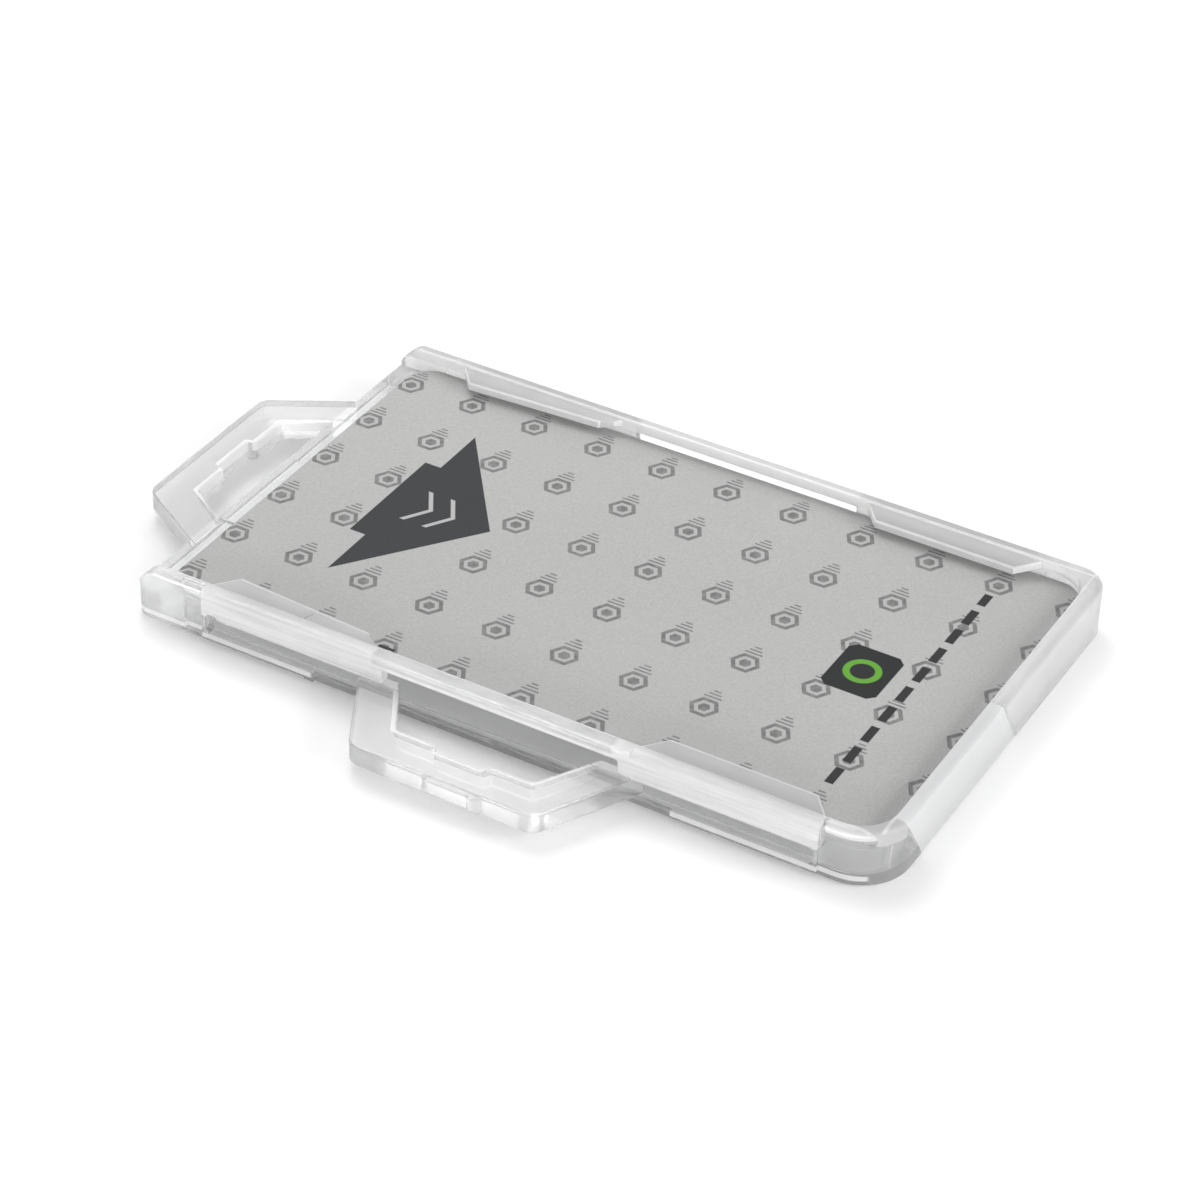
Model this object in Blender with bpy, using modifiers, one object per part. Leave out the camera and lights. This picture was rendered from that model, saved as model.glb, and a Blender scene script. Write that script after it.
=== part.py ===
"""Badge holder: a clear moulded tray with two lanyard loops, and a two-leaf shielding sleeve that slides in it.

X runs along the tray, with the open end at -X. Y runs across it, with the landscape loop at -Y. Z is up, out of
the open face. The origin is on the back face, in the middle of the sleeve's pocket. Lengths are in metres.
"""
import math

import bmesh
import bpy

# The card that the holder is made for
CARD_LENGTH = 0.0856
CARD_WIDTH = 0.0540
CARD_THICKNESS = 0.00076

# The sleeve: two sealed leaves round the card
LEAF_THICKNESS = 0.0003
LEAF_GAP = 0.0003
SLEEVE_SIDE_MARGIN = 0.0016
SLEEVE_SPARE_LENGTH = 0.0088
SLEEVE_CORNER = 0.0032

# Room round the sleeve in its pocket
SIDE_CLEARANCE = 0.0004
OPEN_CLEARANCE = 0.0002
CLOSED_CLEARANCE = 0.0007
SEAT_GAP = 0.0003
CARD_PLAY = 0.00004

# Walls of the tray
PLATE_THICKNESS = 0.0013
WALL_THICKNESS = 0.0013
END_WALL_THICKNESS = 0.0017
BAR_DEPTH = 0.0035
UNDER_SPACE = 0.0022
CLOSED_CORNER = 0.0063
FAR_CLOSED_CORNER = 0.0035
OPEN_CORNER = 0.0017
OPEN_FALL = 0.0032
TOP_FILLET = 0.0010
PANEL_FILLET = 0.0012
BLOCK_SETBACK = 0.0004
RIM_REACH = 0.0006
END_RIM_REACH = 0.0002
RIDGE_HEIGHT = 0.0003
RIDGE_NEAR = -0.0130
RIDGE_FAR = 0.0026
RIDGE_INSET = 0.0005

# Rails under the sleeve and lips over it
RAIL_THICKNESS = 0.0007
RAIL_REACH = 0.0022
LIP_THICKNESS = 0.0010
LIP_REACH = 0.0037
LIP_SLANT = 0.0026
LIP_DROP = 0.0003
LIP_TAPER = 0.0011
ROOT = 0.0003

# The long walls: a window in the middle, then a post, then a panel with a slot on each side
WINDOW_HALF = 0.0157
WINDOW_SILL = 0.0003
WINDOW_RAIL_HEIGHT = 0.0018
POST_WIDTH = 0.0016
PANEL_LENGTH = 0.0254
PANEL_END_WALL = 0.0006
SLOT_SILL = 0.0002
SLOT_ROOF = 0.0002
SLOT_BITE = 0.0002
FOOT_OPEN = -0.0257
FOOT_CLOSED = 0.0226
FOOT_SETBACK = 0.0006
FLANGE_LIFT = 0.0003
NICK_WIDTH = 0.0028
NICK_DEPTH = 0.0005
NICK_FOOT = 0.0007
NICK_ROOF = 0.0012

# Both lanyard loops: flat trapezoid rings
LOOP_THICKNESS = 0.0028
LANDSCAPE_PLACE = -0.0005
LOOP_BASE_HALF = 0.0184
LOOP_BAR_HALF = 0.0122
LOOP_REACH_PORTRAIT = 0.0106
LOOP_REACH_LANDSCAPE = 0.0116
LOOP_BAR_WIDTH = 0.0052
LOOP_SLOT_BASE_HALF = 0.0128
LOOP_SLOT_BAR_HALF = 0.0091
LOOP_CORNER = 0.0022
LOOP_SLOT_CORNER = 0.0008
LOOP_ROOT = 0.0012
LOOP_EMBED = 0.0001
CLIP_NOTCH_HALF = 0.0031
CLIP_NOTCH_DEPTH = 0.0010
CLIP_NOTCH_SLANT = 0.0006
GATE_HALF = 0.0009
GATE_PROUD = 0.0003
GATE_PLACE = 0.0042

# The thumb patch on the closed end wall, leaning in the wall's plane
THUMB_NEAR = -0.0228
THUMB_FAR = 0.0020
THUMB_LEAN = 0.0024
THUMB_DEPTH = 0.0002

ARC_STEPS = 6
OVERRUN = 0.0020

# Heights, from the back face up
rail_bottom = PLATE_THICKNESS + UNDER_SPACE
rail_top = rail_bottom + RAIL_THICKNESS
back_leaf_bottom = rail_top + SEAT_GAP
front_leaf_bottom = back_leaf_bottom + LEAF_THICKNESS + LEAF_GAP
sleeve_top = front_leaf_bottom + LEAF_THICKNESS
lip_bottom = sleeve_top + CARD_THICKNESS + CARD_PLAY
lip_top = lip_bottom + LIP_THICKNESS
height = lip_top + LIP_DROP

# Places along X and Y
sleeve_length = CARD_LENGTH + SLEEVE_SPARE_LENGTH
sleeve_half_width = CARD_WIDTH / 2 + SLEEVE_SIDE_MARGIN
pocket_half_length = (sleeve_length + OPEN_CLEARANCE + CLOSED_CLEARANCE) / 2
pocket_half_width = sleeve_half_width + SIDE_CLEARANCE
pocket_corner = CLOSED_CORNER - END_WALL_THICKNESS
rim_half_width = pocket_half_width - RIM_REACH
rim_closed = pocket_half_length - END_RIM_REACH
half_width = pocket_half_width + WALL_THICKNESS
block_half_width = half_width - BLOCK_SETBACK
open_end = -pocket_half_length - BAR_DEPTH
closed_end = pocket_half_length + END_WALL_THICKNESS
slot_start = WINDOW_HALF + POST_WIDTH
panel_end = WINDOW_HALF + PANEL_LENGTH
slot_end = panel_end - PANEL_END_WALL
loop_top = PLATE_THICKNESS - LOOP_EMBED + LOOP_THICKNESS


def rounded(corners):
    """Outline points of a polygon whose corners are (x, y, radius), with arcs at the corners that have one."""
    points = []
    count = len(corners)
    for i, (x, y, radius) in enumerate(corners):
        if radius <= 0:
            points.append((x, y))
            continue
        before, after = corners[i - 1], corners[(i + 1) % count]
        a = math.atan2(before[1] - y, before[0] - x)
        b = math.atan2(after[1] - y, after[0] - x)
        turn = (b - a + math.pi) % (2 * math.pi) - math.pi
        reach = radius / abs(math.tan(turn / 2))
        middle = a + turn / 2
        hub = radius / abs(math.sin(turn / 2))
        cx, cy = x + hub * math.cos(middle), y + hub * math.sin(middle)
        start = math.atan2(y + reach * math.sin(a) - cy, x + reach * math.cos(a) - cx)
        end = math.atan2(y + reach * math.sin(b) - cy, x + reach * math.cos(b) - cx)
        sweep = (end - start + math.pi) % (2 * math.pi) - math.pi
        for step in range(ARC_STEPS + 1):
            angle = start + sweep * step / ARC_STEPS
            points.append((cx + radius * math.cos(angle), cy + radius * math.sin(angle)))
    return points


def both_sides(near):
    """Closes an outline from its near half, given from -X to +X at negative y, by mirroring it over y = 0."""
    return near + [(x, -y, radius) for x, y, radius in reversed(near)]


def flat_shape(name, outline, low, high, collection, along="Z"):
    """A mesh object from a flat outline, extruded along an axis between two exact places on it."""
    curve = bpy.data.curves.new(name, "CURVE")
    curve.dimensions = "2D"
    curve.fill_mode = "BOTH"
    curve.extrude = (high - low) / 2
    spline = curve.splines.new("POLY")
    spline.points.add(len(outline) - 1)
    for point, (x, y) in zip(spline.points, outline):
        point.co = (x, y, 0, 1)
    spline.use_cyclic_u = True
    guide = bpy.data.objects.new(name + "_outline", curve)
    bpy.context.scene.collection.objects.link(guide)
    bpy.context.view_layer.update()
    evaluated = guide.evaluated_get(bpy.context.evaluated_depsgraph_get())
    mesh = bpy.data.meshes.new_from_object(evaluated)
    matrix = guide.matrix_world.copy()
    bpy.data.objects.remove(guide)

    shape = bmesh.new()
    shape.from_mesh(mesh)
    bmesh.ops.remove_doubles(shape, verts=shape.verts, dist=0.000001)
    caps = [edge for edge in shape.edges if edge.is_manifold and edge.calc_face_angle() < 0.0001]
    bmesh.ops.dissolve_edges(shape, edges=caps, use_verts=False)
    for vertex in shape.verts:
        x, y, place = vertex.co.x, vertex.co.y, high if vertex.co.z > 0 else low
        vertex.co = {"X": (place, x, y), "Y": (x, place, y), "Z": (x, y, place)}[along]
    bmesh.ops.recalc_face_normals(shape, faces=shape.faces)
    if shape.calc_volume(signed=True) < 0:
        bmesh.ops.reverse_faces(shape, faces=shape.faces)
    shape.to_mesh(mesh)
    shape.free()
    mesh.name = name
    piece = bpy.data.objects.new(name, mesh)
    piece.matrix_world = matrix
    collection.objects.link(piece)
    return piece


def block(name, low, high, collection):
    """A box between two corners."""
    shape = bmesh.new()
    bmesh.ops.create_cube(shape, size=1)
    for vertex in shape.verts:
        vertex.co = [b if c > 0 else a for a, b, c in zip(low, high, vertex.co)]
    mesh = bpy.data.meshes.new(name)
    shape.to_mesh(mesh)
    shape.free()
    piece = bpy.data.objects.new(name, mesh)
    collection.objects.link(piece)
    return piece


def combine(target, other, operation):
    """Adds one Boolean to the target, whose other shape stays as a hidden guide."""
    boolean = target.modifiers.new(other.name, "BOOLEAN")
    boolean.operation = operation
    boolean.object = other
    boolean.solver = "EXACT"
    other.hide_render = True
    other.display_type = "WIRE"


def round_top_rim(piece, radius):
    """Fillets the upper edge of an upright shape, before anything is cut from it."""
    weights = piece.data.attributes.new("bevel_weight_edge", "FLOAT", "EDGE")
    top = max(vertex.co.z for vertex in piece.data.vertices)
    for edge in piece.data.edges:
        if all(abs(piece.data.vertices[v].co.z - top) < 0.000001 for v in edge.vertices):
            weights.data[edge.index].value = 1
    bevel = piece.modifiers.new("rim_fillet", "BEVEL")
    bevel.limit_method = "WEIGHT"
    bevel.width = radius
    bevel.segments = 3


def material(name, colour, roughness, alpha=1.0):
    """A Principled material with one colour."""
    finish = bpy.data.materials.new(name)
    finish.use_nodes = True
    shader = finish.node_tree.nodes["Principled BSDF"]
    shader.inputs["Base Color"].default_value = (*colour, 1)
    shader.inputs["Roughness"].default_value = roughness
    shader.inputs["Metallic"].default_value = 0
    shader.inputs["Alpha"].default_value = alpha
    return finish


def tray(parts, cutters):
    """The solid tray before it is hollowed: a rounded block, with a thicker band on its near side between corners."""
    corners = [(open_end, -block_half_width, OPEN_CORNER), (closed_end, -block_half_width, CLOSED_CORNER),
               (closed_end, half_width, FAR_CLOSED_CORNER), (open_end, half_width, OPEN_CORNER)]
    body = flat_shape("holder_body", rounded(corners), 0, height, parts)
    round_top_rim(body, TOP_FILLET)

    inside = rim_half_width - ROOT
    for name, x_low, x_high, fillet in (("open_band", -panel_end, slot_start, 0),
                                        ("closed_band", WINDOW_HALF, panel_end, PANEL_FILLET)):
        profile = [(-inside, FLANGE_LIFT, 0), (-half_width, FLANGE_LIFT, 0),
                   (-half_width, height, fillet), (-inside, height, 0)]
        band = flat_shape(name, rounded(profile), x_low, x_high, cutters, along="X")
        combine(body, band, "UNION")
    return body


def hollow(body, cutters):
    """Cuts the pocket, the mouth over the low bar and the open face inside the rim, and leaves the bar's ridge."""
    near = [(-pocket_half_length, -pocket_half_width, 0), (pocket_half_length, -pocket_half_width, pocket_corner)]
    pocket = flat_shape("pocket", rounded(both_sides(near)), PLATE_THICKNESS, lip_bottom, cutters)
    combine(body, pocket, "DIFFERENCE")

    mouth = block("mouth", (open_end - OVERRUN, -pocket_half_width, rail_top - RIDGE_HEIGHT),
                  (-pocket_half_length + OVERRUN, pocket_half_width, lip_bottom), cutters)
    combine(body, mouth, "DIFFERENCE")

    near = [(open_end - OVERRUN, -rim_half_width, 0), (rim_closed, -rim_half_width, pocket_corner)]
    face = flat_shape("open_face", rounded(both_sides(near)), lip_bottom - ROOT, height + OVERRUN, cutters)
    combine(body, face, "DIFFERENCE")

    ridge = block("bar_ridge", (open_end + RIDGE_INSET, RIDGE_NEAR, rail_bottom),
                  (-pocket_half_length - RIDGE_INSET, RIDGE_FAR, rail_top), cutters)
    combine(body, ridge, "UNION")


def add_rails_and_lips(body, cutters):
    """Four rails that carry the sleeve, and four lips with slanted ends that hold it down, grown from the walls."""
    for side, label in ((-1, "near_"), (1, "far_")):
        for end, place in ((-1, "open_"), (1, "closed_")):
            x_low, x_high = sorted((end * slot_start, end * panel_end))
            y_low, y_high = sorted((side * (pocket_half_width - RAIL_REACH), side * (pocket_half_width + ROOT)))
            rail = block(label + place + "rail", (x_low, y_low, rail_bottom), (x_high, y_high, rail_top), cutters)
            combine(body, rail, "UNION")

            root = side * (rim_half_width + ROOT)
            taper = LIP_TAPER if end < 0 else 0
            outline = [
                (x_low, root), (x_low, side * rim_half_width),
                (x_low + LIP_SLANT, side * (pocket_half_width - LIP_REACH)),
                (x_high - LIP_SLANT, side * (pocket_half_width - LIP_REACH + taper)),
                (x_high, side * rim_half_width), (x_high, root),
            ]
            combine(body, flat_shape(label + place + "lip", outline, lip_bottom, lip_top, cutters), "UNION")


def pierce_walls(body, cutters):
    """Cuts the middle windows and the slots on both sides, and the set-back foot and the nick on the near side."""
    inside = pocket_half_width - OVERRUN / 4
    outside = half_width + OVERRUN
    window_top = height - WINDOW_RAIL_HEIGHT
    for side, name in ((-1, "near"), (1, "far")):
        y_low, y_high = sorted((side * inside, side * outside))
        window = block(name + "_window", (-WINDOW_HALF, y_low, PLATE_THICKNESS + WINDOW_SILL),
                       (WINDOW_HALF, y_high, window_top), cutters)
        combine(body, window, "DIFFERENCE")
        y_low, y_high = sorted((side * (pocket_half_width - SLOT_BITE), side * outside))
        for end, label in ((-1, "open"), (1, "closed")):
            x_low, x_high = sorted((end * slot_start, end * slot_end))
            slot = block(name + "_" + label + "_slot", (x_low, y_low, PLATE_THICKNESS + SLOT_SILL),
                         (x_high, y_high, rail_bottom + SLOT_ROOF), cutters)
            combine(body, slot, "DIFFERENCE")

    foot = block("foot", (FOOT_OPEN, -outside, -OVERRUN),
                 (FOOT_CLOSED, FOOT_SETBACK - half_width, PLATE_THICKNESS), cutters)
    combine(body, foot, "DIFFERENCE")
    nick = block("nick", (-panel_end - NICK_WIDTH, -outside, NICK_FOOT),
                 (-panel_end, NICK_DEPTH - block_half_width, height - NICK_ROOF), cutters)
    combine(body, nick, "DIFFERENCE")


def ease_open_corners(body, cutters):
    """Rounds the walls down to the low bar at the open end, seen from the side."""
    rise = height - rail_top
    profile = [(open_end - OVERRUN, height + OVERRUN), (open_end - OVERRUN, rail_top)]
    for step in range(ARC_STEPS + 1):
        left = 1 - step / ARC_STEPS
        profile.append((open_end + OPEN_FALL * (1 - left), rail_top + rise * (1 - left ** 1.5)))
    profile.append((open_end + OPEN_FALL, height + OVERRUN))
    reach = half_width + OVERRUN
    cutter = flat_shape("open_corner_ease", profile, -reach, reach, cutters, along="Y")
    combine(body, cutter, "DIFFERENCE")


def thumb_patch(body, cutters):
    """A shallow patch in the closed end wall, its ends leaning with the wall's height."""
    foot, roof = -OVERRUN, height + OVERRUN
    lean = THUMB_LEAN * (roof - foot) / height
    outline = [(THUMB_NEAR + lean, foot), (THUMB_FAR + lean, foot), (THUMB_FAR - lean, roof), (THUMB_NEAR - lean, roof)]
    cutter = flat_shape("thumb_patch", outline, closed_end - THUMB_DEPTH, closed_end + OVERRUN, cutters, along="X")
    combine(body, cutter, "DIFFERENCE")


def loop_outline(edge, reach):
    """A lanyard loop that stands out past an edge, as (across, out) points: two legs and a bar with a clip notch."""
    root = edge - LOOP_ROOT
    tip = edge + reach
    bar = tip - LOOP_BAR_WIDTH
    wide = LOOP_BASE_HALF + LOOP_ROOT * (LOOP_BASE_HALF - LOOP_BAR_HALF) / reach
    slot_wide = LOOP_SLOT_BASE_HALF + LOOP_ROOT * (LOOP_SLOT_BASE_HALF - LOOP_SLOT_BAR_HALF) / (bar - edge)
    notch = CLIP_NOTCH_HALF
    return rounded([
        (-wide, root, 0), (-LOOP_BAR_HALF, tip, LOOP_CORNER),
        (LOOP_BAR_HALF, tip, LOOP_CORNER), (wide, root, 0),
        (slot_wide, root, 0), (LOOP_SLOT_BAR_HALF, bar, LOOP_SLOT_CORNER),
        (notch + CLIP_NOTCH_SLANT, bar, 0), (notch, bar + CLIP_NOTCH_DEPTH, 0),
        (-notch, bar + CLIP_NOTCH_DEPTH, 0), (-notch - CLIP_NOTCH_SLANT, bar, 0),
        (-LOOP_SLOT_BAR_HALF, bar, LOOP_SLOT_CORNER), (-slot_wide, root, 0),
    ])


def add_loops(body, cutters):
    """The landscape loop on the near wall and the portrait loop on the open end, with the moulding gate's mark."""
    bottom = PLATE_THICKNESS - LOOP_EMBED
    outline = [(LANDSCAPE_PLACE + across, -out) for across, out in loop_outline(half_width, LOOP_REACH_LANDSCAPE)]
    combine(body, flat_shape("landscape_loop", outline, bottom, loop_top, cutters), "UNION")

    outline = [(-out, across) for across, out in loop_outline(-open_end, LOOP_REACH_PORTRAIT)]
    combine(body, flat_shape("portrait_loop", outline, bottom, loop_top, cutters), "UNION")

    tip = -half_width - LOOP_REACH_LANDSCAPE
    gate = block("gate_mark", (GATE_PLACE - GATE_HALF, tip - GATE_PROUD, bottom + GATE_PROUD),
                 (GATE_PLACE + GATE_HALF, tip + OVERRUN / 2, loop_top - GATE_PROUD), cutters)
    combine(body, gate, "UNION")


def leaf(name, bottom, finish, parts):
    """One die-cut leaf of the sleeve, lying in the pocket."""
    closed_x = pocket_half_length - CLOSED_CLEARANCE
    near = [
        (closed_x - sleeve_length, -sleeve_half_width, SLEEVE_CORNER),
        (closed_x, -sleeve_half_width, SLEEVE_CORNER),
    ]
    piece = flat_shape(name, rounded(both_sides(near)), bottom, bottom + LEAF_THICKNESS, parts)
    piece.data.materials.append(finish)
    return piece


def main():
    for old in list(bpy.data.objects):
        bpy.data.objects.remove(old)
    parts = bpy.data.collections.new("badge_holder")
    cutters = bpy.data.collections.new("cutters")
    for collection in (parts, cutters):
        bpy.context.scene.collection.children.link(collection)

    body = tray(parts, cutters)
    hollow(body, cutters)
    add_rails_and_lips(body, cutters)
    pierce_walls(body, cutters)
    ease_open_corners(body, cutters)
    thumb_patch(body, cutters)
    add_loops(body, cutters)
    body.data.materials.append(material("clear_polycarbonate", (0.86, 0.87, 0.88), 0.15, 0.5))

    leaf("sleeve_back_leaf", back_leaf_bottom, material("plain_laminate", (0.62, 0.62, 0.62), 0.55), parts)
    leaf("sleeve_front_leaf", front_leaf_bottom, material("printed_laminate", (0.52, 0.52, 0.52), 0.45), parts)


main()
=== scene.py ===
import math

import bmesh
import bpy
from mathutils import Matrix, Vector


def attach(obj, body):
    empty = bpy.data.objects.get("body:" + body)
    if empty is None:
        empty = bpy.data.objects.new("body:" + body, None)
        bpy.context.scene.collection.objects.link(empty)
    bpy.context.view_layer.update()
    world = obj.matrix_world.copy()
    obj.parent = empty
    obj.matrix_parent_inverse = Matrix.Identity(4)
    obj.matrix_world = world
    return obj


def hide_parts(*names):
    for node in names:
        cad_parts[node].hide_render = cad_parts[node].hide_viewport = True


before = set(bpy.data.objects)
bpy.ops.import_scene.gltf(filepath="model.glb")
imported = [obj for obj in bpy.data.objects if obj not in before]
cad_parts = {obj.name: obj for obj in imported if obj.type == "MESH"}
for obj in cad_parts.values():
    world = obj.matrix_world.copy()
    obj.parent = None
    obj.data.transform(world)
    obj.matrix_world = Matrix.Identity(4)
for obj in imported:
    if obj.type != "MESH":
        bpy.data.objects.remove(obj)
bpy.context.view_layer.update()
mm = 0.001

# ---------------------------------------------------------------------------------------------------------------
# The moulding. It is one piece of clear polycarbonate, injection moulded: a tray with a rim round its open face,
# four lips that hold the sleeve, a low bar that the sleeve slides out over, and two flat loops for a lanyard.
# Lengths are in millimetres: x towards the closed end, y towards the far long side and z out of the open face.


def arc_outline(corners, steps=12):
    """Points of an outline whose corners are (x, y, radius), with a fine arc at each corner that has a radius."""
    points = []
    for i, (x, y, radius) in enumerate(corners):
        if radius <= 0:
            points.append((x, y))
            continue
        before, after = corners[i - 1], corners[(i + 1) % len(corners)]
        a = math.atan2(before[1] - y, before[0] - x)
        b = math.atan2(after[1] - y, after[0] - x)
        turn = (b - a + math.pi) % (2 * math.pi) - math.pi
        reach, hub = radius / abs(math.tan(turn / 2)), radius / abs(math.sin(turn / 2))
        cx, cy = x + hub * math.cos(a + turn / 2), y + hub * math.sin(a + turn / 2)
        start = math.atan2(y + reach * math.sin(a) - cy, x + reach * math.cos(a) - cx)
        end = math.atan2(y + reach * math.sin(b) - cy, x + reach * math.cos(b) - cx)
        sweep = (end - start + math.pi) % (2 * math.pi) - math.pi
        for step in range(steps + 1):
            angle = start + sweep * step / steps
            points.append((cx + radius * math.cos(angle), cy + radius * math.sin(angle)))
    return points


def loft(name, rings, along="Z"):
    """A solid through rings of outline points, each at its own place along an axis."""
    turn = {"X": lambda x, y, z: (z, x, y), "Y": lambda x, y, z: (x, z, y), "Z": lambda x, y, z: (x, y, z)}[along]
    shape = bmesh.new()
    loops = [[shape.verts.new(turn(x, y, place)) for x, y in outline] for outline, place in rings]
    shape.faces.new(loops[0])
    shape.faces.new(loops[-1])
    for lower, upper in zip(loops, loops[1:]):
        for i in range(len(lower)):
            j = (i + 1) % len(lower)
            shape.faces.new((lower[i], lower[j], upper[j], upper[i]))
    bmesh.ops.recalc_face_normals(shape, faces=shape.faces)
    if shape.calc_volume(signed=True) < 0:
        bmesh.ops.reverse_faces(shape, faces=shape.faces)
    mesh = bpy.data.meshes.new(name)
    shape.to_mesh(mesh)
    shape.free()
    piece = bpy.data.objects.new(name, mesh)
    bpy.context.scene.collection.objects.link(piece)
    return piece


def round_over(outline, low, high, low_radius=0.0, high_radius=0.0, mouth=False, steps=5):
    """Rings for a solid whose rims are rounded over, or for a cutter whose mouth at the high end is flared."""
    rings = []
    if low_radius:
        for step in range(steps):
            angle = math.pi / 2 * step / steps
            rings.append((outline(low_radius * (math.sin(angle) - 1)), low + low_radius * (1 - math.cos(angle))))
    rings.append((outline(0), low + low_radius))
    rings.append((outline(0), high - high_radius))
    if high_radius:
        for step in range(1, steps + 1):
            angle = math.pi / 2 * step / steps
            grow = high_radius * (1 - math.cos(angle))
            rings.append((outline(grow if mouth else -grow), high - high_radius + high_radius * math.sin(angle)))
    return rings


def prism(name, outline, low, high, along="Z", ease=0.0):
    """A solid between two places on an axis, with both its rims eased by a small bevel."""
    piece = loft(name, [(outline, low), (outline, high)], along)
    if ease:
        shape = bmesh.new()
        shape.from_mesh(piece.data)
        rims = [edge for edge in shape.edges if any(len(face.verts) > 4 or face.index < 2 for face in edge.link_faces)]
        bmesh.ops.bevel(shape, geom=rims, offset=ease, segments=3, profile=0.5, affect="EDGES")
        shape.to_mesh(piece.data)
        shape.free()
    return piece


def box(name, low, high, ease=0.0):
    """A solid between two corners."""
    outline = [(low[0], low[1]), (high[0], low[1]), (high[0], high[1]), (low[0], high[1])]
    return prism(name, outline, low[2], high[2], ease=ease)


def merge(target, other, operation):
    """Unites or cuts the target with another solid, which is used up."""
    boolean = target.modifiers.new(other.name, "BOOLEAN")
    boolean.operation, boolean.object, boolean.solver = operation, other, "EXACT"
    bpy.context.view_layer.update()
    mesh = bpy.data.meshes.new_from_object(target.evaluated_get(bpy.context.evaluated_depsgraph_get()))
    target.modifiers.clear()
    target.data = mesh
    bpy.data.objects.remove(other)


# The tray's block, with all its corners and rims rounded.
open_end, closed_end = -51.15, 49.35
side = 30.3                 # the outer face of the far wall and of the thick bands
block_side = 29.9           # the outer face of the two near corners
height = 7.5
open_corner, near_corner, far_corner = 1.7, 6.3, 3.5
foot_radius, rim_radius = 0.35, 1.0
fall_length = 3.2           # the long walls sink to the bar over this length at the open end


def tray_outline(grow):
    """The tray seen from above. The extra points near the open end let its walls sink smoothly."""
    near_y, far_y = -block_side - grow, side + grow
    fall = [open_end + step for step in (2.2, 2.7, fall_length)]
    near = [(open_end - grow, near_y, open_corner + grow)] + [(x, near_y, 0) for x in fall]
    far = [(x, far_y, 0) for x in reversed(fall)] + [(open_end - grow, far_y, open_corner + grow)]
    closed = [(closed_end + grow, near_y, near_corner + grow), (closed_end + grow, far_y, far_corner + grow)]
    return arc_outline(near + closed + far)


moulding = loft("holder_moulding", round_over(tray_outline, 0, height, foot_radius, rim_radius, steps=6))

# Its walls sink towards the open end. The flat top is first split from the near side to the far side at each point.
rail_low, rail_high = 3.5, 4.2
fall_share, fall_curve = 0.88, 1.5
shape = bmesh.new()
shape.from_mesh(moulding.data)
falling = sorted(
    (vert for vert in shape.verts if vert.co.z > height - 0.001 and vert.co.x < open_end + fall_length + 0.1),
    key=lambda vert: (round(vert.co.x, 4), vert.co.y))
for near_vert, far_vert in zip(falling[::2], falling[1::2]):
    if near_vert.co.x > open_end + rim_radius + 0.02 and near_vert.co.y * far_vert.co.y < 0:
        bmesh.ops.connect_vert_pair(shape, verts=[near_vert, far_vert])
for vert in shape.verts:
    if vert.co.z > rail_high and vert.co.x < open_end + fall_length:
        left = min(1.0, (open_end + fall_length - vert.co.x) / fall_length)
        vert.co.z = rail_high + (vert.co.z - rail_high) * (1 - fall_share * left ** fall_curve)
shape.to_mesh(moulding.data)
shape.free()

# The near wall is thicker along two bands, which meet at the post right of the window. The right one is rounder.
window_end = 15.7           # half the middle window's length; a post follows it, then a panel up to the corner
post_end = 17.3
panel_end = 41.1
band_inside, band_foot, band_edge = -28.1, 0.3, 0.3
for x_low, x_high, top_radius in ((-panel_end, post_end, 0.3), (window_end, panel_end, 1.2)):
    profile = arc_outline([(band_inside, band_foot, 0), (-side, band_foot, band_edge),
                           (-side, height, top_radius), (band_inside, height, 0)], 6)
    merge(moulding, loft("band", [(profile, x_low), (profile, x_high)], "X"), "UNION")

# The pocket for the sleeve, its mouth over the bar, and the open face with a flared rim.
plate = 1.3                 # the back plate's thickness
pocket_end, pocket_side, pocket_corner = 47.65, 29.0, 4.6
lip_low, lip_high = 6.2, 7.2
rim_end, rim_side, rim_flare = 47.45, 28.4, 0.3
bar_top = 3.9
past = 2                    # how far a cutter reaches past the surface that it opens


def pocket_outline(grow):
    """The pocket seen from above. Its edges stay sharp, so it takes no notice of the growth."""
    return arc_outline([(-pocket_end, -pocket_side, 0), (pocket_end, -pocket_side, pocket_corner),
                        (pocket_end, pocket_side, pocket_corner), (-pocket_end, pocket_side, 0)])


def face_outline(grow):
    """The opening in the face, which runs out over the open end."""
    return arc_outline([
        (open_end - past, -rim_side - grow, 0), (rim_end + grow, -rim_side - grow, pocket_corner + grow),
        (rim_end + grow, rim_side + grow, pocket_corner + grow), (open_end - past, rim_side + grow, 0)])


merge(moulding, loft("pocket", round_over(pocket_outline, plate, lip_low)), "DIFFERENCE")
mouth = box("mouth", (open_end - past, -pocket_side, bar_top), (-pocket_end + past, pocket_side, lip_low))
merge(moulding, mouth, "DIFFERENCE")
rings = round_over(face_outline, lip_low - 0.3, height, 0, rim_flare, mouth=True)
merge(moulding, loft("face", rings + [(face_outline(rim_flare), height + past)]), "DIFFERENCE")
bar_ridge = box("bar_ridge", (open_end + 0.5, -13.0, rail_low), (-pocket_end - 0.5, 2.6, rail_high), 0.12)
merge(moulding, bar_ridge, "UNION")

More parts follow.
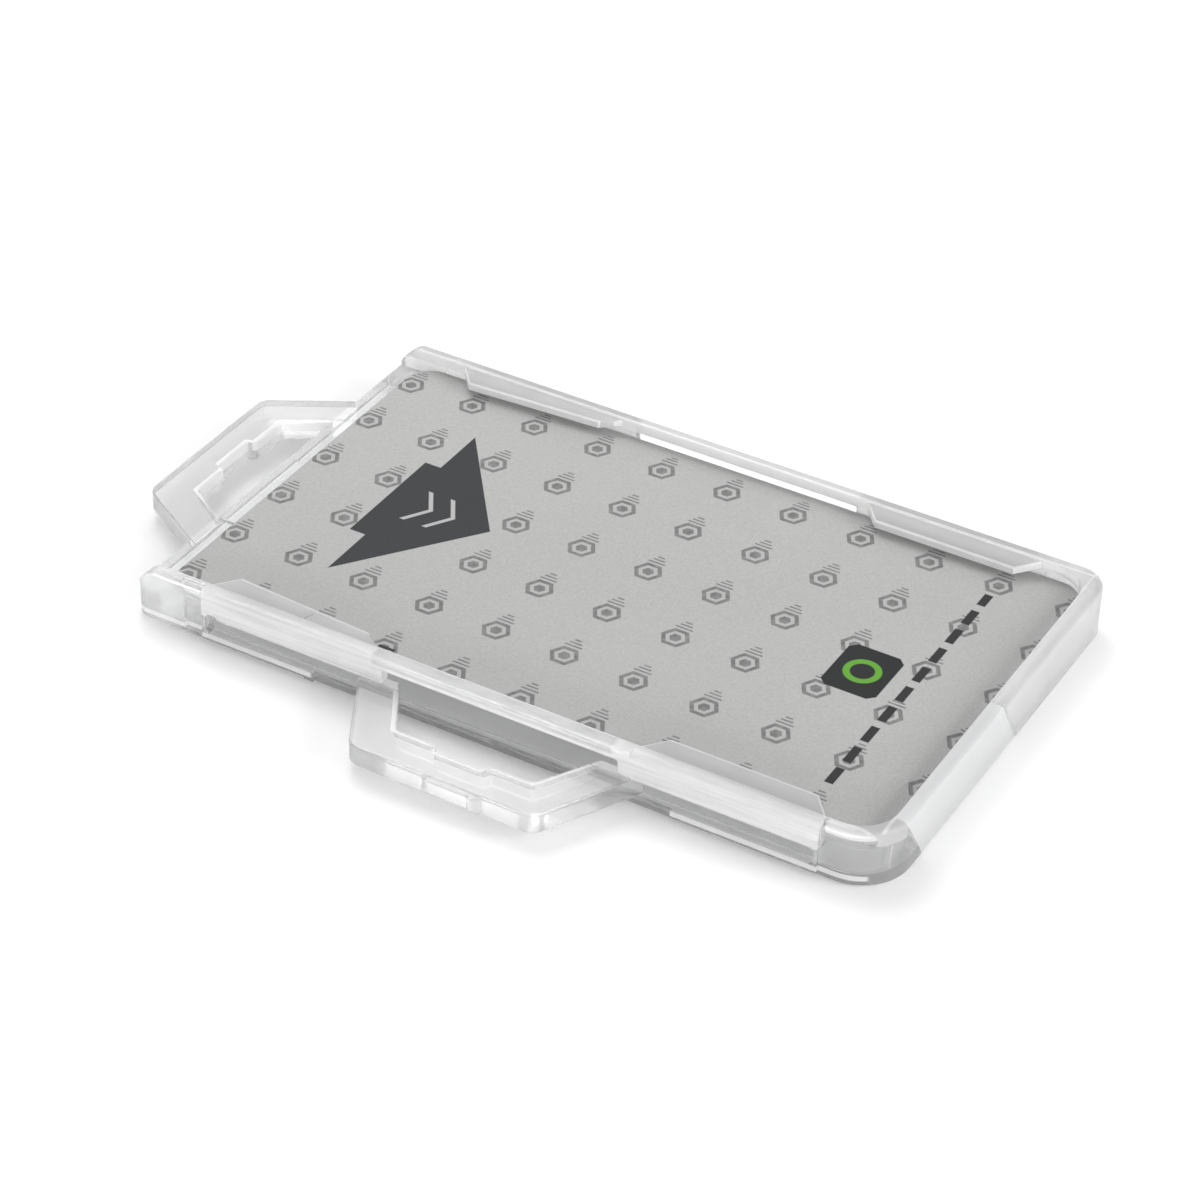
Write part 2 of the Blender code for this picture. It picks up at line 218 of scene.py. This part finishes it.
# Each panel has a rail under the sleeve and a lip over it. The lips' ends slant, and the two left ones taper.
rail_width, rail_root = 2.2, 0.3
lip_edge, lip_root, lip_slant, lip_taper, lip_ease = 25.3, 28.8, 2.6, 1.1, 0.22
for way in (-1, 1):
    for end in (-1, 1):
        x_low, x_high = sorted((end * post_end, end * panel_end))
        y_low, y_high = sorted((way * (pocket_side - rail_width), way * (pocket_side + rail_root)))
        merge(moulding, box("rail", (x_low, y_low, rail_low), (x_high, y_high, rail_high)), "UNION")
        taper = lip_taper if end < 0 else 0
        lip = [(x_low, way * lip_root), (x_low, way * rim_side), (x_low + lip_slant, way * lip_edge),
               (x_high - lip_slant, way * (lip_edge + taper)), (x_high, way * rim_side), (x_high, way * lip_root)]
        merge(moulding, prism("lip", lip, lip_low, lip_high, ease=lip_ease), "UNION")


def opening_outline(x_low, x_high, z_low, z_high, radius):
    """An opening in a wall, as a function of how much its mouth has grown."""
    def outline(grow):
        around = radius + grow
        return arc_outline([(x_low - grow, z_low - grow, around), (x_high + grow, z_low - grow, around),
                            (x_high + grow, z_high + grow, around), (x_low - grow, z_high + grow, around)], 5)
    return outline


def pierce(outline, inside, way, flare=0.2):
    """Cuts an opening through one long wall, with its outer mouth flared."""
    rings = round_over(outline, inside, side, 0, flare, mouth=True, steps=3) + [(outline(flare), side + past)]
    merge(moulding, loft("opening", [(ring, way * place) for ring, place in rings], "Y"), "DIFFERENCE")


# Each long wall has a window in the middle and a slot low in each panel. The near left slot turns up at its end.
slot_end, slot_low, slot_high = 40.5, 1.5, 3.7
for way in (-1, 1):
    pierce(opening_outline(-window_end, window_end, plate + 0.3, 5.7, 0.35), pocket_side - 0.5, way)
    for end in (-1, 1):
        x_low, x_high = sorted((end * post_end, end * slot_end))
        pierce(opening_outline(x_low, x_high, slot_low, slot_high, 0.6), pocket_side - 0.2, way)
pierce(opening_outline(-slot_end, -slot_end + 1.5, 2.2, 4.2, 0.5), pocket_side - 0.2, -1)

# The near wall's foot is set back, and a nick with two ribs parts its left panel from the corner.
nick_end = -panel_end - 2.8
foot_cut = box("foot_cut", (-25.7, -side - past, -past), (22.6, 0.6 - side, plate))
merge(moulding, foot_cut, "DIFFERENCE")
nick = box("nick", (nick_end, -side - past, 0.7), (-panel_end, 0.5 - block_side, height - 1.2))
merge(moulding, nick, "DIFFERENCE")
for z in (5.25, 5.7):
    low, high = (nick_end + 0.1, -block_side + 0.22, z), (-panel_end + 0.2, -block_side + 0.9, z + 0.18)
    merge(moulding, box("nick_rib", low, high, 0.05), "UNION")

# The closed end has a shallow recess for the thumb, whose two ends lean.
thumb_near, thumb_far = -22.8, 2.0
thumb_lean = 2.4            # how far each end moves towards the near side from half height to the top
below, above = -past, height + past
lean = thumb_lean * (above - below) / height
recess = [(thumb_near + lean, below), (thumb_far + lean, below), (thumb_far - lean, above), (thumb_near - lean, above)]
merge(moulding, prism("thumb_recess", recess, closed_end - 0.2, closed_end + past, "X"), "DIFFERENCE")

# The loops, of two legs and a bar. Each slot has a notch in the middle for the clip.
loop_low, loop_high, loop_ease = 1.2, 4.0, 0.28
loop_root, loop_tip = 18.4, 12.2    # half of its width at the wall and at the tip
hole_root, hole_tip = 12.8, 9.1     # the same for its slot
bar_width = 5.2
notch_root, notch_tip, notch_depth = 3.7, 3.1, 1.0
landscape_middle, landscape_reach, portrait_reach = -0.5, 11.6, 10.6


def loop(edge, reach, sunk=1.2):
    """A loop past an edge of the tray, as (across, out) points. Its legs are sunk a little way into the wall."""
    root, tip = edge - sunk, edge + reach
    bar = tip - bar_width
    wide = loop_root + sunk * (loop_root - loop_tip) / reach
    hole = hole_root + sunk * (hole_root - hole_tip) / (bar - edge)
    return arc_outline([
        (-wide, root, 0), (-loop_tip, tip, 2.2), (loop_tip, tip, 2.2), (wide, root, 0),
        (hole, root, 0), (hole_tip, bar, 0.8), (notch_root, bar, 0.6), (notch_tip, bar + notch_depth, 0.4),
        (-notch_tip, bar + notch_depth, 0.4), (-notch_root, bar, 0.6), (-hole_tip, bar, 0.8), (-hole, root, 0),
    ], 6)


landscape = [(landscape_middle + across, -out) for across, out in loop(side, landscape_reach)]
merge(moulding, prism("landscape_loop", landscape, loop_low, loop_high, ease=loop_ease), "UNION")
portrait = [(-out, across) for across, out in loop(-open_end, portrait_reach)]
merge(moulding, prism("portrait_loop", portrait, loop_low, loop_high, ease=loop_ease), "UNION")

# Small forms: a stop on the foot, a step on the near left lip, and the gate mark at the landscape loop's tip.
merge(moulding, box("foot_stop", (-26.6, -side, 0.1), (-25.3, 1.0 - side, 1.35), 0.25), "UNION")
step = [(-28.6, -28.6), (-27.9, -28.6), (-27.3, -26.9), (-27.8, -26.8)]
merge(moulding, prism("lip_step", step, lip_high - 0.2, lip_high + 0.16, ease=0.1), "UNION")
merge(moulding, box("gate_mark", (3.3, -side - 11.9, 1.5), (5.1, -side - 10.6, 3.7), 0.12), "UNION")

# The finished mesh: stray points welded, flat faces made whole, sharp edges kept sharp, and metres for millimetres.
weld_distance, flat_angle, sharp_angle = 0.002, math.radians(0.3), math.radians(32)
shape = bmesh.new()
shape.from_mesh(moulding.data)
bmesh.ops.remove_doubles(shape, verts=shape.verts, dist=weld_distance)
bmesh.ops.dissolve_limit(shape, angle_limit=flat_angle, verts=shape.verts, edges=shape.edges)
bmesh.ops.scale(shape, vec=(mm, mm, mm), verts=shape.verts)
for face in shape.faces:
    face.smooth = True
for edge in shape.edges:
    edge.smooth = edge.is_manifold and edge.calc_face_angle() < sharp_angle
shape.to_mesh(moulding.data)
shape.free()
weighted = moulding.modifiers.new("flat_faces_stay_flat", "WEIGHTED_NORMAL")
weighted.keep_sharp = True


class Wire:
    """One output of a shader tree. Expressions on it add the Math nodes that they need."""

    def __init__(self, tree, made=None, output=0):
        self.tree, self.made = tree, made
        self.socket = made.outputs[output] if made else None

    def node(self, kind, settings=None, values=None, output=0):
        """Adds one node: its settings first, then a value or a wire for each socket that is named or numbered."""
        made = self.tree.nodes.new(kind)
        for name, value in (settings or {}).items():
            setattr(made, name, value)
        for name, value in (values or {}).items():
            if isinstance(value, Wire):
                self.tree.links.new(value.socket, made.inputs[name])
            else:
                made.inputs[name].default_value = value
        return Wire(self.tree, made, output)

    def output(self, name):
        """Another output of the same node."""
        return Wire(self.tree, self.made, name)

    def math(self, operation, *others):
        return self.node("ShaderNodeMath", {"operation": operation}, dict(enumerate((self, *others))))

    def __add__(self, other):
        return self.math("ADD", other)

    def __radd__(self, other):
        return self.math("ADD", other)

    def __sub__(self, other):
        return self.math("SUBTRACT", other)

    def __rsub__(self, other):
        return self.node("ShaderNodeMath", {"operation": "SUBTRACT"}, {0: other, 1: self})

    def __mul__(self, other):
        return self.math("MULTIPLY", other)

    def __abs__(self):
        return self.math("ABSOLUTE")

    def most(self, other):
        return self.math("MAXIMUM", other)

    def least(self, other):
        return self.math("MINIMUM", other)

    def within(self, softness):
        """1 where this distance, in millimetres, is below 0, and 0 outside, with a soft edge."""
        settings = {"operation": "SUBTRACT", "use_clamp": True}
        return self.node("ShaderNodeMath", settings, {0: 0.5, 1: self * (1 / softness)})


def blank(name):
    """A new material, a wire on its tree to add nodes to, and its Principled shader."""
    finish = bpy.data.materials.new(name)
    finish.use_nodes = True
    return finish, Wire(finish.node_tree), finish.node_tree.nodes["Principled BSDF"]


def feed(shader, name, wire):
    """Links a wire to a socket of a shader or of an output."""
    wire.tree.links.new(wire.socket, shader.inputs[name])


def tint(factor, first, second):
    """Mixes two colours by a factor."""
    values = {0: factor, 6: (*first, 1) if isinstance(first, tuple) else first,
              7: (*second, 1) if isinstance(second, tuple) else second}
    return factor.node("ShaderNodeMix", {"data_type": "RGBA"}, values, 2)


def millimetres(nodes):
    """Where a point of the piece is, in metres as one wire, and in millimetres along each of the holder's axes."""
    place = nodes.node("ShaderNodeTexCoord", output="Object")
    apart = nodes.node("ShaderNodeSeparateXYZ", values={0: place})
    return place, apart.output("X") * 1000, apart.output("Y") * 1000, apart.output("Z") * 1000


def noise(place, scale, detail):
    return place.node("ShaderNodeTexNoise", values={"Vector": place, "Scale": scale, "Detail": detail})


# Masks, each 1 on one part of the moulding and 0 elsewhere.
clear, nodes, shader = blank("clear_polycarbonate")
place, x, y, z = millimetres(nodes)
past_side, past_end = side + 0.3, open_end - 0.05           # where the two loops begin
lip_middle = (post_end + panel_end) / 2
thumb_middle, thumb_half = (thumb_near + thumb_far) / 2, (thumb_far - thumb_near) / 2
long_walls = (28.7 - abs(y)).within(0.3) * (abs(y) - 30.5).within(0.2)
far_side = (24.0 - y).within(0.4)
panels = (abs(x) - 41.2).within(0.3) * long_walls * (3.8 - z).within(0.3)
mid_rail = (abs(x + 1.0) - 16.0).within(0.6) * long_walls * (6.3 - z).within(0.4)
# Painted highlight: a bright band along the long walls below the slots, made by frosting it whiter.
sill_highlight = long_walls * (abs(z - 1.1) - 0.35).within(0.15) * (24.1 - abs(x + 1.5)).within(0.3)
# The foot band of the long walls, which is painted darker below as shade.
foot = long_walls * (z - 0.75).within(0.2)
blocks = (x + 44.2).within(0.3) * (26.0 - abs(y)).within(0.5) * (-51.3 - x).within(0.2)
portrait_loop = (x - past_end).within(0.4)
loops = (y + past_side).within(0.4).most(portrait_loop)

# The lips, and the lines of light along their edges and the rims.
above_rails = (5.5 - z).within(0.3)
near_lips = (y + 24.8).within(0.2) * (-28.3 - y).within(0.2) * above_rails
far_lips = (22.0 - y).within(0.5) * above_rails
taper = ((x + 38.5) * 0.059).most(0.0) * (x + 10.0).within(2.0)
lip_edges = (abs(abs(y) - taper - 25.5) - 0.22).most(abs(abs(x) - lip_middle) - 9.6)
lip_ends = abs(abs(abs(x) - lip_middle) + (rim_side - abs(y)) * 0.83 - 11.75) - 0.24
lip_ends = lip_ends.most(25.4 - abs(y)).most(abs(y) - rim_side)
rims = (abs(abs(y) - 28.6) - 0.2).least(abs(x - 47.62) - 0.2).most(7.1 - z)
lines = lip_edges.least(lip_ends).most(6.1 - z).least(rims).within(0.15)

# The closed end: the thumb recess, the wall beside it, and the near corner below its rim.
slant = y + (z - height / 2) * (thumb_lean / (height / 2))
recess = (abs(slant - thumb_middle) - thumb_half).within(0.3) * (46.6 - x).within(0.6)
end_wall = (46.8 - x).within(0.3) * (thumb_far - slant).within(0.4)
near_end = (slant - thumb_near).within(0.4)
# Painted highlight: the rim over the near corner is frosted whiter.
corner_rim_highlight = (41.6 - x).within(0.4) * near_end * (6.4 - z).within(0.2)
# The near corner below the rim, which is painted darker below as shade.
corner = (41.4 - x).within(0.4) * near_end


def slot_distance(across, out):
    """How far a point is from a loop's slot, whose bar side is at 0 and has the notch in it."""
    half_notch = (notch_root + notch_tip) / 2
    notched = 0.0 - out - (abs(across) - half_notch).within(0.4) * notch_depth
    return notched.most((abs(across) - hole_tip) * 0.866 - out * 0.5)


landscape_slot = slot_distance(x - landscape_middle, y + (side + landscape_reach - bar_width))
portrait_slot = slot_distance(y, x - (open_end - portrait_reach + bar_width))
landscape_edge = (abs(landscape_slot - 0.3) - 0.35).most(y + past_side)
portrait_edge = (abs(portrait_slot - 0.3) - 0.35).most(x - past_end)
# Painted highlight: bright bands along the edges of the loops' slots, frosted whiter.
slot_edge_highlights = landscape_edge.least(portrait_edge).most(2.6 - z).within(0.15)

# How milky the plastic is. It has faint flow marks, and streaks drawn out along the panels.
flow = noise(place, 90.0, 3.0)
fine = noise(place, 900.0, 2.0)
drawn = place.node("ShaderNodeMapping", values={"Vector": place, "Scale": (50.0, 300.0, 1300.0)})
streaks = noise(drawn, 1.0, 3.0)
milky = panels * (streaks - 0.5) * 0.9 + panels * 0.78 - mid_rail * 0.4 - panels * far_side * 0.35
# The frost on the slot edges, the sill, the corner rim and the lines of light paints highlights along those edges.
for mask, share in ((near_lips, 0.8), (blocks, 0.25), (loops, 0.12), (far_lips, 0.5), (sill_highlight, 0.8), (lines, 0.8),
                    (end_wall, 0.5), (corner_rim_highlight, 0.65), (slot_edge_highlights, 0.8)):
    milky = milky.most(mask * share)
milky = (milky * (0.8 + flow * 0.4)).most(0.05).most(recess * 0.97)

# Painted shade: the clear shader is painted greyer on the parts below, and the milky one where the lips lie over the
# sleeve.
# The portrait loop and the far side get the full painted shade; the loops, middle rail, wall foot and near corner get
# part of it.
painted_shade = portrait_loop.most(far_side)
for mask, share in ((loops, 0.8), (mid_rail, 0.5), (foot, 0.9), (corner, 0.5)):
    painted_shade = painted_shade.most(mask * share)
# Painted shade of the sleeve seen through the lips: the milky lips are painted grey where they lie over it.
painted_sleeve_shade = near_lips.most(far_lips * (x - 40.0).within(0.5) * 0.55) * (1.0 - lines)
pale = tint(flow, (0.93, 0.935, 0.945), (0.975, 0.98, 0.985))
frost = tint(recess, (0.94, 0.94, 0.94), (0.86, 0.865, 0.87))
ripple = flow.node("ShaderNodeBump", values={"Strength": 0.06, "Distance": 0.00003, "Height": flow})
polycarbonate_ior = 1.58
# The grey that the painted shade mixes the clear plastic towards.
feed(shader, "Base Color", tint(painted_shade, pale, (0.62, 0.62, 0.62)))
feed(shader, "Roughness", flow * 0.05 + 0.05)
feed(shader, "Normal", ripple)
shader.inputs["Alpha"].default_value = 0.8
shader.inputs["IOR"].default_value = polycarbonate_ior
shader.inputs["Transmission Weight"].default_value = 0.9
frosting = nodes.node("ShaderNodeBsdfPrincipled", values={
    "Base Color": tint(painted_sleeve_shade, frost, (0.6, 0.6, 0.6)), "Roughness": 0.35 + fine * 0.15,
    "IOR": polycarbonate_ior, "Transmission Weight": 0.45, "Normal": ripple})
clear_side = Wire(nodes.tree, shader, "BSDF")
mixed = nodes.node("ShaderNodeMixShader", values={0: milky, 1: clear_side, 2: frosting})
feed(clear.node_tree.nodes["Material Output"], "Surface", mixed)
moulding.data.materials.append(clear)
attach(moulding, "holder")
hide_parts("holder_body")

# ---------------------------------------------------------------------------------------------------------------
# The sleeve's back leaf. It is die-cut from grey paper lined with foil, lies flat, and is sealed to the front
# leaf along both long sides and the closed end. Nothing is printed on it.

leaf_low, leaf_high = -47.45, 46.95
leaf_side, leaf_corner, leaf_thickness = 28.6, 3.2, 0.26


def leaf(name, middle, dip):
    """One leaf of the sleeve: a thin, slightly wavy sheet whose sealed borders dip towards the other leaf."""
    shape = bmesh.new()
    columns = [leaf_low + (leaf_high - leaf_low) * i / 118 for i in range(119)]
    rows = [-leaf_side + 2 * leaf_side * j / 72 for j in range(73)]
    seal, rise = 0.9, 1.3

    def bulge(px, py):
        """0 on the sealed borders and 1 inside them. The open end has no seal."""
        edge = min(px - leaf_low + seal + rise, leaf_high - px, leaf_side - abs(py))
        t = max(0.0, min(1.0, (edge - seal) / rise))
        return t * t * (3 - 2 * t)

    def inside(px, py):
        """Draws a point in to the round corner if it lies outside it."""
        cx = max(leaf_low + leaf_corner, min(leaf_high - leaf_corner, px))
        cy = max(-leaf_side + leaf_corner, min(leaf_side - leaf_corner, py))
        away = math.hypot(px - cx, py - cy)
        if away <= leaf_corner:
            return px, py
        return cx + (px - cx) * leaf_corner / away, cy + (py - cy) * leaf_corner / away

    grids = []
    for offset in (-leaf_thickness / 2, leaf_thickness / 2):
        grid = []
        for px in columns:
            line = []
            for py in rows:
                qx, qy = inside(px, py)
                wave = 0.020 * math.sin(qx / 9.0 + 0.7) * math.sin(qy / 13.0 + 0.4)
                level = middle + dip * (1 - bulge(qx, qy)) + wave * bulge(qx, qy) + offset
                line.append(shape.verts.new((qx, qy, level)))
            grid.append(line)
        grids.append(grid)
    low, high = grids
    n, m = len(columns), len(rows)
    for i in range(n - 1):
        for j in range(m - 1):
            shape.faces.new((high[i][j], high[i + 1][j], high[i + 1][j + 1], high[i][j + 1]))
            shape.faces.new((low[i][j + 1], low[i + 1][j + 1], low[i + 1][j], low[i][j]))
    rim = [(i, 0) for i in range(n)] + [(n - 1, j) for j in range(1, m)]
    rim += [(i, m - 1) for i in range(n - 2, -1, -1)] + [(0, j) for j in range(m - 2, 0, -1)]
    for (a, b), (c, d) in zip(rim, rim[1:] + rim[:1]):
        shape.faces.new((low[a][b], low[c][d], high[c][d], high[a][b]))
    bmesh.ops.scale(shape, vec=(mm, mm, mm), verts=shape.verts)
    for face in shape.faces:
        face.smooth = True
    for edge in shape.edges:
        edge.smooth = edge.is_manifold and edge.calc_face_angle(0) < math.radians(40)
    mesh = bpy.data.meshes.new(name)
    shape.to_mesh(mesh)
    shape.free()
    piece = bpy.data.objects.new(name, mesh)
    bpy.context.scene.collection.objects.link(piece)
    return piece


def paper(name, colour):
    """Satin paper: its fibres vary the colour, the gloss and the surface a little."""
    finish, nodes, shader = blank(name)
    place, x, y, _ = millimetres(nodes)
    fibres = noise(place, 3400.0, 2.0)
    cloud = noise(place, 45.0, 2.0)
    light = tuple(c * 1.24 for c in colour)
    dark = tuple(c * 0.78 for c in colour)
    sheet = tint(fibres * 0.8 + cloud * 0.2, dark, light)
    feed(shader, "Roughness", 0.50 + fibres * 0.16 + cloud * 0.06)
    shader.inputs["Specular IOR Level"].default_value = 0.22
    grain = fibres.node("ShaderNodeBump", values={"Strength": 0.35, "Distance": 0.00002, "Height": fibres})
    feed(shader, "Normal", grain)
    return finish, shader, sheet, place, x, y


back_leaf = leaf("sleeve_back_leaf_paper", 4.65, 0.0)
plain, shader, sheet, *_ = paper("plain_laminate", (0.55, 0.55, 0.545))
feed(shader, "Base Color", sheet)
back_leaf.data.materials.append(plain)
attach(back_leaf, "sleeve")
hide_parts("sleeve_back_leaf")

# ---------------------------------------------------------------------------------------------------------------
# The sleeve's front leaf. It is the same paper, and its borders are pressed down onto the back leaf and sealed.
# It is printed all over with a small grey motif, and in black with an arrow, a mark with a green ring and dashes.

front_leaf = leaf("sleeve_front_leaf_paper", 5.25, -0.25)
printed, shader, sheet, place, x, y = paper("printed_laminate", (0.44, 0.44, 0.436))
print_edge = 0.1            # how soft the edges of the black print are


def in_cell(value, pitch, start):
    """How far a point is from the middle of its cell in a row of cells."""
    return (value - start).math("MODULO", pitch) - pitch / 2


def hexagon(u, v, reach):
    return (abs(u) * 0.866 + abs(v) * 0.5).most(abs(v)) - reach


def bar(u, v, length, width):
    return (abs(u) - length / 2).most(abs(v) - width / 2)


# The motif is a hexagonal nut round a bolt, with three ticks beside it.
u = in_cell(x, 9.3, -60.0)
v = in_cell(y, 9.9, -40.0)
nut = abs(hexagon(u, v + 0.9, 1.4)) - 0.26
bolt = hexagon(u, v + 0.9, 0.68)
ticks = bar(u, v - 1.25, 2.3, 0.26).least(bar(u, v - 1.85, 1.6, 0.26)).least(bar(u, v - 2.45, 0.9, 0.26))
motif = nut.least(bolt).least(ticks).within(0.12)
ink = noise(place, 1400.0, 2.0)
print_colour = tint(motif * (0.45 + ink * 0.7), sheet, (0.14, 0.14, 0.138))

# The arrow points the way that the card goes in. It has a short, wide shaft and two pale chevrons.
ahead, aside = x + 20.05, y - 0.7           # from the arrow's tip and from its middle line
near_slope = (ahead * 16.9 - aside * 12.6) * (1 / 21.1)
far_slope = (ahead * 16.7 + aside * 12.5) * (1 / 20.9)
head = near_slope.most(far_slope).most(-32.6 - x)
shaft = (abs(x + 33.6) - 1.25).most(abs(aside) - 8.6)
bent = abs(aside) * 0.62 + x
chevrons = (abs(bent + 25.4) - 0.32).least(abs(bent + 28.6) - 0.32).most(abs(aside) - 3.4)
print_colour = tint(head.least(shaft).within(print_edge), print_colour, (0.035, 0.037, 0.040))
print_colour = tint(chevrons.within(print_edge), print_colour, (0.45, 0.45, 0.45))

# The mark is a square with its corners cut, and a ring in it.
across, along = x - 31.4, y + 0.45
square = (abs(across) - 3.6).most(abs(along) - 4.5).most((abs(across) + abs(along)) * math.sqrt(0.5) - 5.1)
ring = abs((across * across + along * along).math("SQRT") - 1.9) - 0.42
print_colour = tint(square.within(print_edge), print_colour, (0.02, 0.021, 0.022))
print_colour = tint(ring.within(print_edge), print_colour, (0.12, 0.36, 0.035))

# A dashed line runs along the closed end, and one dash lies near the middle of the near side.
dash = in_cell(y, 4.4, -43.6)
dashes = (abs(x - 37.5) - 0.55).most(abs(dash) - 1.55).most(abs(y + 0.25) - 21.4)
dashes = dashes.least(bar(x + 17.8, y + 25.9, 2.2, 0.45))
print_colour = tint(dashes.within(print_edge), print_colour, (0.03, 0.03, 0.032))
feed(shader, "Base Color", print_colour)
front_leaf.data.materials.append(printed)
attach(front_leaf, "sleeve")
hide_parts("sleeve_front_leaf")

# ---------------------------------------------------------------------------------------------------------------
# The studio: a plain pale floor, a soft room, four softboxes and the photograph's camera. Seen by the camera,
# the room and the floor far from the holder are white; the holder still casts its shadow on the floor.

floor_mesh = bpy.data.meshes.new("floor")
reach = 2.0
floor_corners = [(-reach, -reach, 0), (reach, -reach, 0), (reach, reach, 0), (-reach, reach, 0)]
floor_mesh.from_pydata(floor_corners, [], [(0, 1, 2, 3)])
floor = bpy.data.objects.new("floor", floor_mesh)
floor.location.z = -0.2 * mm
bpy.context.scene.collection.objects.link(floor)
pale_floor, nodes, shader = blank("pale_floor")
shader.inputs["Base Color"].default_value = (0.95, 0.95, 0.95, 1)
shader.inputs["Roughness"].default_value = 0.9
shader.inputs["Specular IOR Level"].default_value = 0.2
paths = nodes.node("ShaderNodeLightPath")
here = nodes.node("ShaderNodeTexCoord", output="Object")
away = nodes.node("ShaderNodeVectorMath", {"operation": "LENGTH"}, {0: here}, "Value")
far_away = (0.22 - away).within(0.12)       # in metres from the holder's middle
glow = (paths.output("Is Camera Ray") * (far_away + 0.08) + paths.output("Is Glossy Ray") * 0.1
        + paths.output("Is Transmission Ray") * 0.26)
feed(shader, "Emission Color", tint(glow, (0, 0, 0), (1, 1, 1)))
shader.inputs["Emission Strength"].default_value = 1.0
floor_mesh.materials.append(pale_floor)

room = bpy.data.worlds.new("soft_room")
bpy.context.scene.world = room
room.use_nodes = True
seen = Wire(room.node_tree).node("ShaderNodeLightPath", output="Is Camera Ray")
background = room.node_tree.nodes["Background"]
feed(background, "Color", tint(seen, (0.42, 0.42, 0.42), (1.0, 1.0, 1.0)))
background.inputs["Strength"].default_value = 1.0


def softbox(name, place, size, power):
    """A rectangular lamp that faces the holder: its place and size in metres, its power in watts."""
    lamp = bpy.data.lights.new(name, "AREA")
    lamp.shape, lamp.size, lamp.size_y, lamp.energy = "RECTANGLE", size[0], size[1], power
    stand = bpy.data.objects.new(name, lamp)
    stand.location = place
    stand.rotation_euler = (-Vector(place)).to_track_quat("-Z", "Y").to_euler()
    bpy.context.scene.collection.objects.link(stand)


softbox("softbox_far", (-0.22, 0.30, 0.26), (0.36, 0.30), 0.38)
softbox("softbox_right", (0.6, 0.05, 0.3), (0.4, 0.3), 2.0)
softbox("softbox_near", (0.25, -0.64, 0.12), (0.6, 0.18), 3.5)
softbox("softbox_above", (-0.16, 0.10, 0.34), (0.22, 0.22), 0.6)

turn, tilt, roll = (math.radians(angle) for angle in (29.2559, 35.9503, 1.6344))
backward = Vector((math.sin(turn) * math.cos(tilt), -math.cos(turn) * math.cos(tilt), math.sin(tilt)))
level = Vector((math.cos(turn), math.sin(turn), 0))
upward = backward.cross(level)
right = level * math.cos(roll) + upward * math.sin(roll)
top = upward * math.cos(roll) - level * math.sin(roll)
to_right, to_top, distance = -3.655, 2.6933, 433.737        # in millimetres along the camera's own axes
spot = (right * to_right + top * to_top + backward * distance) * mm + Vector((0.25 * mm, 0, 0))
lens = bpy.data.cameras.new("camera")
lens.lens, lens.sensor_width, lens.sensor_fit = 108, 36, "HORIZONTAL"
lens.clip_start, lens.clip_end = 0.01, 20
camera = bpy.data.objects.new("camera", lens)
camera.matrix_world = Matrix.Translation(spot) @ Matrix((right, top, backward)).transposed().to_4x4()
bpy.context.scene.collection.objects.link(camera)
bpy.context.scene.camera = camera
bpy.context.scene.view_settings.view_transform = "Standard"

bpy.context.view_layer.update()
